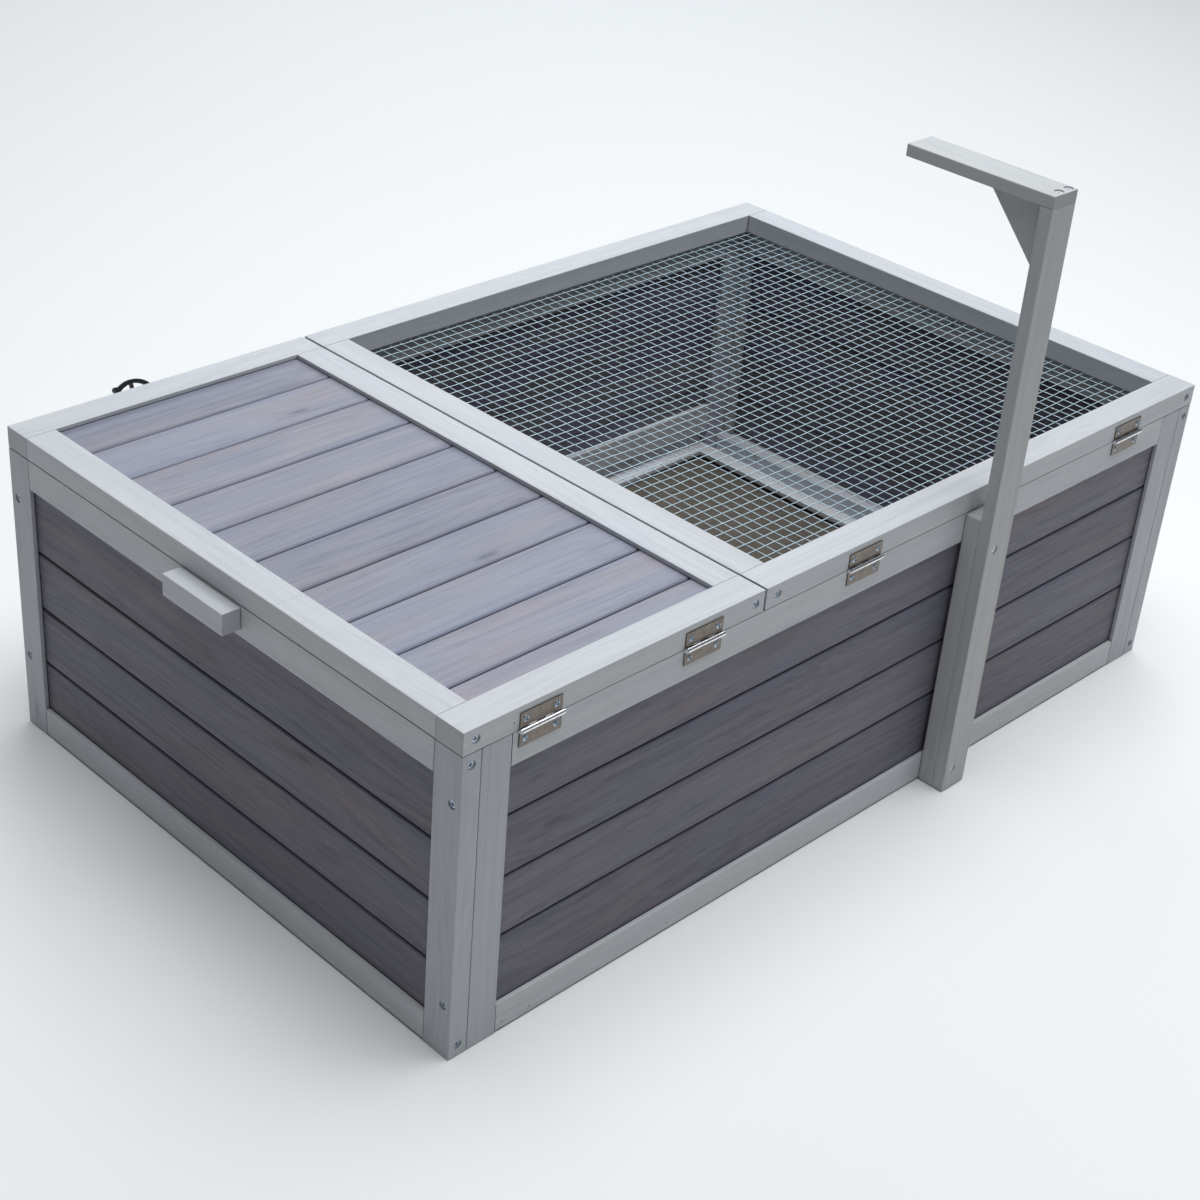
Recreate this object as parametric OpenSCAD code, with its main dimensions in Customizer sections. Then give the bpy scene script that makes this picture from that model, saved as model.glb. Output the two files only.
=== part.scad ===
// Low rabbit hutch in painted softwood: four framed and boarded walls, a boarded lid over the
// sleeping end, a wire mesh lid over the run, a pull-out tray and a post with an arm for a lamp.
// The hinges are on the back (-Y), the clasp and the tray on the front (+Y), and X runs along
// the length from the sleeping end to the run. The origin is at the centre of the footprint.

/* [Hutch] */
// Length over the two end walls
box_l = 940; // [800:10:1200]
// Width over the back and front walls
box_w = 583; // [480:1:700]
// Height of the walls, up to the underside of the lids
wall_h = 282.5; // [240:0.5:360]
// Length of the boarded lid
solid_lid_l = 314; // [260:1:340]

/* [Frame timber] */
// Thickness of the wall stiles and rails
frame_t = 18; // [16:0.5:24]
// Width of the wall stiles
stile_w = 29.4; // [26:0.2:36]
// Height of the top rails
top_rail_h = 28.4; // [24:0.2:34]
// Level of the upper edge of the bottom rails
bottom_rail_top = 28.6; // [26:0.2:36]
// Air under the bottom rails
rail_lift = 2; // [1:0.5:4]
// Lowest edge of the front bottom rail, above the tray slot
front_rail_low = 40; // [36:1:50]
// Height of the front bottom rail
front_rail_h = 31; // [26:1:40]

/* [Boards] */
// Thickness of the tongued boards
board_t = 6; // [5:0.5:8]
// Face width of one board
board_pitch = 56.5; // [50:0.5:62]
// How far the boards sit back from the frame faces
recess = 4.5; // [3:0.5:6]
// First board joint above the ground on the back and front walls
long_joint = 93; // [80:0.5:100]
// First board joint above the ground on the end walls
end_joint = 78; // [70:0.5:100]
// First board joint in the boarded lid, from its back face
lid_joint = 55.5; // [45:0.5:80]

/* [Lids] */
// Thickness of the lid frames
lid_t = 19.8; // [18:0.2:24]
// Width of the lid rails
lid_rail_w = 28.8; // [26:0.2:34]
// Gap between the two lids
lid_split = 2.4; // [1:0.2:4]
// Spacing of the mesh wires
mesh_pitch = 12; // [10:0.5:16]
// Diameter of the mesh wires
wire_d = 1.1; // [0.8:0.1:1.4]

/* [Lamp post] */
// Left side of the post, from the left end of the hutch
post_x = 579.4; // [500:1:620]
// Width of the post, batten and arm
post_w = 32; // [28:1:40]
// Thickness of the batten on the wall
batten_t = 15.8; // [15:0.2:20]
// Thickness of the post
post_t = 12; // [10:0.5:18]
// Thickness of the arm
arm_t = 11; // [9:0.5:16]
// Level of the underside of the arm
arm_z = 567; // [480:1:700]
// Reach of the arm past the back face of the hutch
arm_reach = 120; // [80:1:160]
// Length of the gusset's top side, a little shorter than its upright side
gusset_leg = 55; // [40:1:70]

/* [Hinges] */
// Centres of the hinges along the hutch
hinge_x = [74, 245, 439.5, 826.5]; // [40:0.5:900]
// Length of a hinge
hinge_l = 41.5; // [36:0.5:46]
// Height of one leaf from the pin's axis
leaf_h = 14.5; // [13:0.5:17]

/* [Tray] */
// Thickness of the tray's front board
tray_front_t = 10; // [8:0.5:14]
// Width of the battens round the tray floor
tray_batten_w = 19; // [15:1:24]
// Level of the top of those battens
tray_batten_top = 22; // [20:1:25]

/* [Clasp] */
// Centre of the clasp along the hutch
clasp_x = 134.5; // [100:0.5:200]
// Width of the bail
bail_w = 50; // [44:1:52]
// Length of the bail from its pivot
bail_l = 32.5; // [31:0.5:34]
// Lean of the open bail away from the wall
bail_lean = 25; // [15:1:35]

/* [Hidden] */
$fn = 32;
frame_grey = [0.70, 0.73, 0.75];
board_grey = [0.40, 0.39, 0.43];
tray_brown = [0.45, 0.40, 0.34];
nickel = [0.62, 0.58, 0.52];
zinc = [0.78, 0.80, 0.82];
black = [0.08, 0.08, 0.09];

// Small clearances
fit = 0.2;
screw_fit = 0.05;
screw_sink = 1.1;
screw_recess_r = 3.9;
back_screw_z = 50;
front_screw_z = 77;
lid_gap = 0.6;

// Walls
seam = 0.6;
butt = 0.4;
inner_x0 = frame_t;
inner_x1 = box_l - frame_t;
inner_y0 = frame_t;
inner_y1 = box_w - frame_t;
long_x0 = frame_t + stile_w;
long_x1 = box_l - long_x0;
end_y0 = stile_w;
end_y1 = box_w - stile_w;
top_rail_z = wall_h - top_rail_h;
front_rail_top = front_rail_low + front_rail_h;
groove_d = 5.5;
board_in = 5;

// Board profile
tongue_l = 4;
tongue_t = 1.8;
socket_t = 2.2;
joint_gap = 1.6;
joint_bevel = 1.4;

// Lids
lid_z0 = wall_h + lid_gap;
lid_z1 = lid_z0 + lid_t;
lid_butt = 0.3;
mesh_lid_x0 = solid_lid_l + lid_split;
lid_y0 = lid_rail_w;
lid_y1 = box_w - lid_rail_w;
lid_screw_z = lid_z0 + lid_t / 2;
wire_r = wire_d / 2;
wire_gap = 0.05;
wire_tail = 1.2;
mesh_margin = 4;
mesh_lap = 8;
mesh_x0 = mesh_lid_x0 + lid_rail_w - mesh_lap;
mesh_x1 = inner_x1 - mesh_margin;
mesh_y0 = inner_y0 + mesh_margin;
mesh_y1 = inner_y1 - mesh_margin;
mesh_nx = round((mesh_x1 - mesh_x0) / mesh_pitch);
mesh_ny = round((mesh_y1 - mesh_y0) / mesh_pitch);
step_x = (mesh_x1 - mesh_x0) / mesh_nx;
step_y = (mesh_y1 - mesh_y0) / mesh_ny;
upper_wire_z = lid_z0 - wire_gap - wire_r;
lower_wire_z = upper_wire_z - wire_gap - wire_d;

// Staples that hold the mesh
staple_t = 0.8;
staple_in = 1.2;
staple_depth = 6;
staple_step = 5;

// Partition under the gap between the lids
part_x = solid_lid_l + lid_split / 2 - frame_t / 2;
part_low = tray_batten_top + 4;
door_w = 150;
door_y0 = (box_w - door_w) / 2;
door_y1 = door_y0 + door_w;
door_top = 205;
jamb_w = 20;

// Lamp post
post_back = -batten_t;
post_front = -batten_t - post_t;
batten_top = wall_h - 0.6;
post_low = 0.8;
gusset_t = 16;
gusset_drop = gusset_leg + 4;
lamp_screw_x = post_x + 10.6;

// Hinges
leaf_t = 0.9;
knuckle_r = 2.2;
knuckle_gap = 0.32;
knuckles = 5;
pin_r = 1.1;
pin_fit = 0.05;
hinge_y = -knuckle_r - 0.05;
hinge_z = wall_h + lid_gap / 2;
leaf_screw_dx = 15.1;
leaf_screw_dz = 8.6;

// Tray
tray_clear = 1;
tray_x0 = long_x0 + tray_clear;
tray_x1 = long_x1 - tray_clear;
tray_y0 = inner_y0 + tray_clear;
tray_y1 = box_w - tray_front_t;
tray_low = 6;
tray_front_low = 5;
tray_front_top = front_rail_low - 2;
tray_slot_z0 = tray_low + 3;
tray_slot_z1 = tray_slot_z0 + 7.5;
tray_slot_d = 6;
tray_floor_t = 3;
guide_t = 11;
runner_w = 31;
runner_t = 3.5;
finger_w = 70;
finger_d = 12;

// Handles at the two ends
handle_l = 78;
handle_h = 20;
handle_d = 17.8;
handle_y0 = 255;
handle_z0 = wall_h - 1 - handle_h;

// Clasp
clasp_s = 4.2;
clasp_z = 272;
bail_t = 3.4;
bail_band = 3.8;
bail_neck_w = 24;
bail_web = 2.7;
bail_shoulder = 5.5;
bail_foot = 9;
bail_lug_a = 130;
bail_lug_r = 2.8;
bail_lug_t = 4.6;
ear_t = 3;
clasp_pin_r = 1.2;
clasp_barrel_r = 2.6;
keeper_dx = 8.5;
keeper_z = 293;
stud_l = 5.5;

// Footprint
y_min = post_front;
y_max = box_w + clasp_s + bail_l * sin(bail_lean) + bail_t / 2 * cos(bail_lean);
y_mid = (y_min + y_max) / 2;

// ---------- shared shapes ----------

// Everything is drawn from the hutch's lower back left corner and moved to the origin here.
module placed() {
    translate([-box_l / 2, -y_mid, 0]) children();
}

// A box between two corners.
module bar(a, b) {
    translate(a) cube(b - a);
}

// The right end and the front are mirror images of the left end and the back.
module mirror_x() {
    translate([box_l, 0, 0]) mirror([1, 0, 0]) children();
}

module mirror_y() {
    translate([0, box_w, 0]) mirror([0, 1, 0]) children();
}

// Countersunk screw along +Z with its head at z = 0; grow makes the hole for it.
module screw(len, head_r, shank_r, grow = 0) {
    head_h = head_r - shank_r;
    mouth = grow > 0 ? -2 : 0;
    difference() {
        rotate_extrude() polygon([
            [0, mouth], [head_r + grow, mouth], [head_r + grow, 0], [shank_r + grow, head_h],
            [shank_r + grow, len - shank_r], [0, len + grow * 2]
        ]);
        if (grow == 0) cross_recess(head_r, -1, head_h * 0.6);
    }
}

module cross_recess(head_r, low, high) {
    for (a = [0, 90]) {
        rotate([0, 0, a])
            translate([-head_r * 0.6, -head_r * 0.11, low])
            cube([head_r * 1.2, head_r * 0.22, high - low]);
    }
}

// The frame screws sit at the bottom of a shallow recess.
module frame_screw(len, grow = 0) {
    translate([0, 0, screw_sink]) screw(len, 3.2, 1.8, grow);
    if (grow > 0) translate([0, 0, screw_sink - 3]) cylinder(h = 3, r = screw_recess_r);
}

// Domed screw along +Z whose head rests on z = 0.
module dome_screw(len, grow = 0) {
    head_r = 2.8;
    shank_r = 1.3;
    difference() {
        rotate_extrude() polygon(grow > 0 ? [
            [0, -2], [shank_r + grow, -2], [shank_r + grow, len - shank_r], [0, len + grow * 2]
        ] : [
            [0, -1.05], [1, -0.98], [1.9, -0.74], [2.55, -0.35], [head_r, 0],
            [shank_r, 0], [shank_r, len - shank_r], [0, len]
        ]);
        if (grow == 0) cross_recess(head_r, -2, 0.3);
    }
}

// Outline of a tongued board seen from its end: depth from the outer face, then height.
function board_outline(z0, z1, tongue, socket) = concat(
    [[0, z0 + joint_bevel], [joint_bevel, z0]],
    socket ? [
        [(board_t - socket_t) / 2, z0], [(board_t - socket_t) / 2, z0 + tongue_l + joint_gap],
        [(board_t + socket_t) / 2, z0 + tongue_l + joint_gap], [(board_t + socket_t) / 2, z0]
    ] : [],
    [[board_t, z0], [board_t, z1 - joint_gap]],
    tongue ? [
        [(board_t + tongue_t) / 2, z1 - joint_gap], [(board_t + tongue_t) / 2, z1 + tongue_l],
        [(board_t - tongue_t) / 2, z1 + tongue_l], [(board_t - tongue_t) / 2, z1 - joint_gap]
    ] : [],
    [[joint_bevel, z1 - joint_gap], [0, z1 - joint_gap - joint_bevel]]
);

// Boards along +X, one above the other, with their outer faces on y = 0.
module board_panel(len, joints) {
    last = len(joints) - 2;
    for (i = [0:last]) {
        rotate([90, 0, 90]) linear_extrude(len)
            polygon(board_outline(joints[i], joints[i + 1], i < last, i > 0));
    }
}

// Joint levels from low to high, with a joint every board from the first one.
function joint_levels(low, first, high) = concat(
    [low], [for (z = [first:board_pitch:high - 12]) z], [high]
);

// ---------- screws ----------

// Through the edge of the end stiles into the end rails.
module edge_screws(grow = 0) {
    for (z = [11.5, wall_h - 10.5]) {
        translate([frame_t / 2, 0, z]) rotate([-90, 0, 0]) frame_screw(50, grow);
    }
}

// Through the face of the end stiles into the stiles of the long walls.
module face_screws(low_z, grow = 0) {
    for (z = [low_z, 237]) {
        translate([0, frame_t / 2, z]) rotate([0, 90, 0]) frame_screw(40, grow);
    }
}

module corner_screws(low_z, grow = 0) {
    edge_screws(grow);
    face_screws(low_z, grow);
}

// From inside the end rail into the handle.
module handle_screws(grow = 0) {
    for (dy = [20, handle_l - 20]) {
        translate([frame_t, handle_y0 + dy, handle_z0 + handle_h / 2])
            rotate([0, -90, 0]) frame_screw(30, grow);
    }
}

// Through the long lid rails into the cross rails.
module lid_corner_screws(x_list, grow = 0) {
    for (x = x_list) {
        translate([x, 0, lid_screw_z]) rotate([-90, 0, 0]) frame_screw(50, grow);
        translate([x, box_w, lid_screw_z]) rotate([90, 0, 0]) frame_screw(50, grow);
    }
}

solid_lid_screw_x = [12, solid_lid_l - 10];
mesh_lid_screw_x = [mesh_lid_x0 + 14, box_l - 12];

module hinge_screws(x, up, grow = 0) {
    for (dx = [-1, 1]) {
        translate([x + dx * leaf_screw_dx, hinge_y + knuckle_r - leaf_t, hinge_z + up * leaf_screw_dz])
            rotate([-90, 0, 0]) dome_screw(15, grow);
    }
}

module clasp_base_screws(grow = 0) {
    for (dx = [-1, 1]) {
        translate([clasp_x + dx * 20.5, box_w + 1.5, clasp_z])
            rotate([90, 0, 0]) dome_screw(13, grow);
    }
}

module keeper_screws(grow = 0) {
    translate([clasp_x, box_w + 1.5, keeper_z]) rotate([90, 0, 0]) dome_screw(13, grow);
}

module post_screws(grow = 0) {
    for (z = [22.5, 255]) {
        translate([lamp_screw_x, post_front, z]) rotate([-90, 0, 0]) frame_screw(25, grow);
    }
}

module batten_screws(grow = 0) {
    for (z = [14, wall_h - 14]) {
        translate([post_x + 22, post_back, z]) rotate([-90, 0, 0]) frame_screw(30, grow);
    }
}

module arm_screws(grow = 0) {
    for (dx = [14, 27]) {
        translate([post_x + dx, (post_front + post_back) / 2, arm_z + arm_t])
            rotate([180, 0, 0]) frame_screw(36, grow);
    }
}

// Staple across a wire along X whose axis is at the given height; grow makes its two slots.
module staple(wire_z, grow = 0) {
    low = wire_z - wire_r - wire_gap - staple_t;
    for (s = [-1, 1]) {
        y0 = s * (staple_in + staple_t / 2) - staple_t / 2;
        bar([-staple_t / 2 - grow, y0 - grow, low],
            [staple_t / 2 + grow, y0 + staple_t + grow, lid_z0 + staple_depth + grow]);
    }
    if (grow == 0) {
        bar([-staple_t / 2, -staple_in - staple_t / 2, low],
            [staple_t / 2, staple_in + staple_t / 2, low + staple_t]);
    }
}

module mesh_staples(grow = 0) {
    for (y = [mesh_y0, mesh_y1]) {
        for (i = [2:staple_step:mesh_nx - 2]) {
            translate([mesh_x0 + (i + 0.5) * step_x, y, 0]) staple(upper_wire_z, grow);
        }
    }
    for (x = [mesh_x0, mesh_x1]) {
        for (j = [2:staple_step:mesh_ny - 2]) {
            translate([x, mesh_y0 + (j + 0.5) * step_y, 0]) rotate([0, 0, 90])
                staple(lower_wire_z, grow);
        }
    }
}

// ---------- back and front walls ----------

// Stile of a long wall with the groove that takes the board ends.
module long_stile(groove_z0, screw_z) {
    difference() {
        bar([frame_t + seam, 0, 0], [long_x0, frame_t, wall_h]);
        bar([long_x0 - groove_d, recess - fit, groove_z0 - groove_d],
            [long_x0 + 1, recess + board_t + fit, top_rail_z + groove_d]);
        face_screws(screw_z, screw_fit);
    }
}

module long_top_rail() {
    difference() {
        bar([long_x0 + butt, 0, top_rail_z], [long_x1 - butt, frame_t, wall_h]);
        bar([long_x0 - 1, recess - fit, top_rail_z - 1],
            [long_x1 + 1, recess + board_t + fit, top_rail_z + groove_d]);
    }
}

module long_bottom_rail(z0, z1) {
    difference() {
        bar([long_x0 + butt, 0, z0], [long_x1 - butt, frame_t, z1]);
        bar([long_x0 - 1, recess - fit, z1 - groove_d],
            [long_x1 + 1, recess + board_t + fit, z1 + 1]);
    }
}

module long_boards(z0) {
    first = long_joint > z0 + 12 ? long_joint : long_joint + board_pitch;
    translate([long_x0 - board_in, recess, 0])
        board_panel(long_x1 - long_x0 + 2 * board_in,
            joint_levels(z0 - board_in, first, top_rail_z + board_in));
}

module back_left_stile() {
    placed() color(frame_grey) long_stile(bottom_rail_top, back_screw_z);
}

module back_right_stile() {
    placed() color(frame_grey) mirror_x() long_stile(bottom_rail_top, back_screw_z);
}

module back_top_rail() {
    placed() color(frame_grey) difference() {
        long_top_rail();
        batten_screws(screw_fit);
        for (x = hinge_x) hinge_screws(x, -1, screw_fit);
    }
}

module back_bottom_rail() {
    placed() color(frame_grey) difference() {
        long_bottom_rail(rail_lift, bottom_rail_top);
        batten_screws(screw_fit);
    }
}

module back_boards() {
    placed() color(board_grey) long_boards(bottom_rail_top);
}

module front_left_stile() {
    placed() color(frame_grey) mirror_y() long_stile(front_rail_top, front_screw_z);
}

module front_right_stile() {
    placed() color(frame_grey) mirror_x() mirror_y() long_stile(front_rail_top, front_screw_z);
}

module front_top_rail() {
    placed() color(frame_grey) difference() {
        mirror_y() long_top_rail();
        clasp_base_screws(screw_fit);
    }
}

module front_bottom_rail() {
    placed() color(frame_grey) mirror_y() long_bottom_rail(front_rail_low, front_rail_top);
}

module front_boards() {
    placed() color(board_grey) mirror_y() long_boards(front_rail_top);
}

// ---------- end walls ----------

// Stile at the back corner of the left end.
module end_stile(screw_z) {
    difference() {
        bar([0, 0, 0], [frame_t, stile_w, wall_h]);
        bar([recess - fit, stile_w - groove_d, bottom_rail_top - groove_d],
            [recess + board_t + fit, stile_w + 1, top_rail_z + groove_d]);
        corner_screws(screw_z, screw_fit);
    }
}

module end_top_rail() {
    difference() {
        bar([0, end_y0 + butt, top_rail_z], [frame_t, end_y1 - butt, wall_h]);
        bar([recess - fit, end_y0 - 1, top_rail_z - 1],
            [recess + board_t + fit, end_y1 + 1, top_rail_z + groove_d]);
        edge_screws(screw_fit);
        mirror_y() edge_screws(screw_fit);
        handle_screws(screw_fit);
    }
}

module end_bottom_rail() {
    difference() {
        bar([0, end_y0 + butt, rail_lift], [frame_t, end_y1 - butt, bottom_rail_top]);
        bar([recess - fit, end_y0 - 1, bottom_rail_top - groove_d],
            [recess + board_t + fit, end_y1 + 1, bottom_rail_top + 1]);
        edge_screws(screw_fit);
        mirror_y() edge_screws(screw_fit);
    }
}

module end_boards() {
    translate([recess, end_y1 + board_in, 0]) rotate([0, 0, -90])
        board_panel(end_y1 - end_y0 + 2 * board_in,
            joint_levels(bottom_rail_top - board_in, end_joint, top_rail_z + board_in));
}

module left_back_stile() {
    placed() color(frame_grey) end_stile(back_screw_z);
}

module left_front_stile() {
    placed() color(frame_grey) mirror_y() end_stile(front_screw_z);
}

module left_top_rail() {
    placed() color(frame_grey) end_top_rail();
}

module left_bottom_rail() {
    placed() color(frame_grey) end_bottom_rail();
}

module left_boards() {
    placed() color(board_grey) end_boards();
}

module right_back_stile() {
    placed() color(frame_grey) mirror_x() end_stile(back_screw_z);
}

module right_front_stile() {
    placed() color(frame_grey) mirror_x() mirror_y() end_stile(front_screw_z);
}

module right_top_rail() {
    placed() color(frame_grey) mirror_x() end_top_rail();
}

module right_bottom_rail() {
    placed() color(frame_grey) mirror_x() end_bottom_rail();
}

module right_boards() {
    placed() color(board_grey) mirror_x() end_boards();
}

module handle() {
    difference() {
        bar([-handle_d, handle_y0, handle_z0], [0, handle_y0 + handle_l, handle_z0 + handle_h]);
        handle_screws(screw_fit);
    }
}

module carry_handles() {
    placed() color(frame_grey) {
        handle();
        mirror_x() handle();
    }
}

// ---------- partition ----------

module partition_top_rail() {
    placed() color(frame_grey) difference() {
        bar([part_x, inner_y0, top_rail_z], [part_x + frame_t, inner_y1, wall_h]);
        bar([part_x + recess - fit, inner_y0 - 1, top_rail_z - 1],
            [part_x + recess + board_t + fit, inner_y1 + 1, top_rail_z + groove_d]);
    }
}

// A post against the back wall and a jamb beside the doorway, grooved towards each other.
module partition_side() {
    difference() {
        bar([part_x, inner_y0, part_low], [part_x + frame_t, inner_y0 + stile_w, top_rail_z]);
        bar([part_x + recess - fit, inner_y0 + stile_w - groove_d, part_low - 1],
            [part_x + recess + board_t + fit, inner_y0 + stile_w + 1, top_rail_z + 1]);
    }
    difference() {
        bar([part_x, door_y0 - jamb_w, part_low], [part_x + frame_t, door_y0, top_rail_z]);
        bar([part_x + recess - fit, door_y0 - jamb_w - 1, part_low - 1],
            [part_x + recess + board_t + fit, door_y0 - jamb_w + groove_d, top_rail_z + 1]);
        bar([part_x + recess - fit, door_y0 - groove_d, door_top - 1],
            [part_x + recess + board_t + fit, door_y0 + 1, top_rail_z + 1]);
    }
}

module partition_posts() {
    placed() color(frame_grey) {
        partition_side();
        mirror_y() partition_side();
    }
}

module partition_side_boards() {
    y0 = inner_y0 + stile_w - board_in;
    y1 = door_y0 - jamb_w + board_in;
    translate([part_x + recess, y1, 0]) rotate([0, 0, -90])
        board_panel(y1 - y0, joint_levels(part_low, end_joint, top_rail_z + board_in));
}

module partition_boards() {
    placed() color(board_grey) {
        partition_side_boards();
        mirror_y() partition_side_boards();
        translate([part_x + recess, door_y1 + board_in, 0]) rotate([0, 0, -90])
            board_panel(door_w + 2 * board_in, [door_top, top_rail_z + board_in]);
    }
}

// ---------- lamp post ----------

module lamp_batten() {
    placed() color(frame_grey) difference() {
        bar([post_x, post_back, post_low], [post_x + post_w, 0, batten_top]);
        post_screws(screw_fit);
        batten_screws(screw_fit);
    }
}

module lamp_post() {
    placed() color(frame_grey) difference() {
        bar([post_x, post_front, post_low], [post_x + post_w, post_back, arm_z]);
        post_screws(screw_fit);
        arm_screws(screw_fit);
    }
}

module lamp_arm() {
    placed() color(frame_grey) difference() {
        bar([post_x, post_front, arm_z], [post_x + post_w, arm_reach, arm_z + arm_t]);
        arm_screws(screw_fit);
    }
}

module lamp_gusset() {
    placed() color(frame_grey)
        translate([post_x + (post_w - gusset_t) / 2, 0, 0])
        rotate([90, 0, 90]) linear_extrude(gusset_t) polygon([
            [post_back, arm_z], [post_back + gusset_leg, arm_z], [post_back, arm_z - gusset_drop]
        ]);
}

// ---------- hinges ----------

knuckle_l = hinge_l / knuckles;

// Knuckles with the given remainder, as the tube or as the strip that joins it to the leaf.
module hinge_knuckles(first) {
    for (i = [first:2:knuckles - 1]) {
        x0 = -hinge_l / 2 + i * knuckle_l + knuckle_gap / 2;
        translate([x0, 0, 0]) rotate([0, 90, 0]) cylinder(h = knuckle_l - knuckle_gap, r = knuckle_r);
        bar([x0, knuckle_r - leaf_t - 0.1, 0],
            [x0 + knuckle_l - knuckle_gap, knuckle_r - 0.1, knuckle_r + knuckle_gap + 0.1]);
    }
}

// A leaf that rises from the pin's axis, drawn round the middle of that axis.
module leaf_shape(first) {
    difference() {
        union() {
            hinge_knuckles(first);
            bar([-hinge_l / 2, knuckle_r - leaf_t - 0.1, knuckle_r + knuckle_gap],
                [hinge_l / 2, knuckle_r - 0.1, leaf_h]);
        }
        rotate([0, 90, 0]) cylinder(h = hinge_l + 2, r = pin_r + pin_fit, center = true);
    }
}

module upper_leaf(x) {
    placed() color(nickel) difference() {
        translate([x, hinge_y, hinge_z]) leaf_shape(1);
        translate([0, -0.1, 0]) hinge_screws(x, 1, screw_fit);
    }
}

module lower_leaf(x) {
    placed() color(nickel) difference() {
        translate([x, hinge_y, hinge_z]) mirror([0, 0, 1]) leaf_shape(0);
        translate([0, -0.1, 0]) hinge_screws(x, -1, screw_fit);
    }
}

module hinge_1_lower_leaf() { lower_leaf(hinge_x[0]); }
module hinge_2_lower_leaf() { lower_leaf(hinge_x[1]); }
module hinge_3_lower_leaf() { lower_leaf(hinge_x[2]); }
module hinge_4_lower_leaf() { lower_leaf(hinge_x[3]); }
module hinge_1_upper_leaf() { upper_leaf(hinge_x[0]); }
module hinge_2_upper_leaf() { upper_leaf(hinge_x[1]); }
module hinge_3_upper_leaf() { upper_leaf(hinge_x[2]); }
module hinge_4_upper_leaf() { upper_leaf(hinge_x[3]); }

module hinge_pins() {
    placed() color(zinc) for (x = hinge_x) {
        translate([x, hinge_y, hinge_z]) rotate([0, 90, 0]) {
            cylinder(h = hinge_l + 0.8, r = pin_r, center = true);
            for (s = [-1, 1]) {
                translate([0, 0, s * (hinge_l / 2 + 0.6)])
                    cylinder(h = 0.8, r = knuckle_r - 0.4, center = true);
            }
        }
    }
}

// ---------- fasteners ----------

module frame_screws() {
    placed() color(zinc) {
        corner_screws(back_screw_z);
        mirror_y() corner_screws(front_screw_z);
        mirror_x() corner_screws(back_screw_z);
        mirror_x() mirror_y() corner_screws(front_screw_z);
        handle_screws();
        mirror_x() handle_screws();
    }
}

module lamp_screws() {
    placed() color(zinc) {
        post_screws();
        batten_screws();
        arm_screws();
    }
}

module hardware_screws() {
    placed() color(zinc) {
        for (x = hinge_x) translate([0, -0.1, 0]) hinge_screws(x, -1);
        clasp_base_screws();
    }
}

module solid_lid_screws() {
    placed() color(zinc) {
        lid_corner_screws(solid_lid_screw_x);
        for (i = [0, 1]) translate([0, -0.1, 0]) hinge_screws(hinge_x[i], 1);
        keeper_screws();
    }
}

module mesh_lid_fixings() {
    placed() color(zinc) {
        lid_corner_screws(mesh_lid_screw_x);
        for (i = [2, 3]) translate([0, -0.1, 0]) hinge_screws(hinge_x[i], 1);
        mesh_staples();
    }
}

// ---------- lids ----------

// A long lid rail along the back edge.
module lid_long_rail(x0, x1, screw_x, hinges) {
    difference() {
        bar([x0, 0, lid_z0], [x1, lid_y0, lid_z1]);
        lid_corner_screws(screw_x, screw_fit);
        for (x = hinges) hinge_screws(x, 1, screw_fit);
    }
}

// A cross rail between the two long rails.
module lid_cross_rail(x0, screw_x) {
    difference() {
        bar([x0, lid_y0 + lid_butt, lid_z0], [x0 + lid_rail_w, lid_y1 - lid_butt, lid_z1]);
        lid_corner_screws(screw_x, screw_fit);
    }
}

// The grooves in the boarded lid's frame that take its boards.
module lid_board_groove() {
    bar([lid_rail_w - groove_d, lid_y0 - groove_d, lid_z1 - recess - board_t - fit],
        [solid_lid_l - lid_rail_w + groove_d, lid_y1 + groove_d, lid_z1 - recess + fit]);
}

module solid_lid_back_rail() {
    placed() color(frame_grey) difference() {
        lid_long_rail(0, solid_lid_l, solid_lid_screw_x, [hinge_x[0], hinge_x[1]]);
        lid_board_groove();
    }
}

module solid_lid_front_rail() {
    placed() color(frame_grey) difference() {
        mirror_y() lid_long_rail(0, solid_lid_l, solid_lid_screw_x, []);
        lid_board_groove();
        keeper_screws(screw_fit);
    }
}

module solid_lid_left_rail() {
    placed() color(frame_grey) difference() {
        lid_cross_rail(0, solid_lid_screw_x);
        lid_board_groove();
    }
}

module solid_lid_right_rail() {
    placed() color(frame_grey) difference() {
        lid_cross_rail(solid_lid_l - lid_rail_w, solid_lid_screw_x);
        lid_board_groove();
    }
}

module solid_lid_boards() {
    x0 = lid_rail_w - board_in;
    placed() color(board_grey)
        translate([x0, 0, lid_z1 - recess]) rotate([-90, 0, 0])
        board_panel(solid_lid_l - 2 * x0,
            joint_levels(lid_y0 - board_in, lid_joint, lid_y1 + board_in));
}

module mesh_lid_back_rail() {
    placed() color(frame_grey) difference() {
        lid_long_rail(mesh_lid_x0, box_l, mesh_lid_screw_x, [hinge_x[2], hinge_x[3]]);
        mesh_staples(screw_fit);
    }
}

module mesh_lid_front_rail() {
    placed() color(frame_grey) difference() {
        mirror_y() lid_long_rail(mesh_lid_x0, box_l, mesh_lid_screw_x, []);
        mesh_staples(screw_fit);
    }
}

module mesh_lid_left_rail() {
    placed() color(frame_grey) difference() {
        lid_cross_rail(mesh_lid_x0, mesh_lid_screw_x);
        mesh_staples(screw_fit);
    }
}

module mesh_lid_right_rail() {
    placed() color(frame_grey) difference() {
        lid_cross_rail(box_l - lid_rail_w, mesh_lid_screw_x);
        mesh_staples(screw_fit);
    }
}

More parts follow.
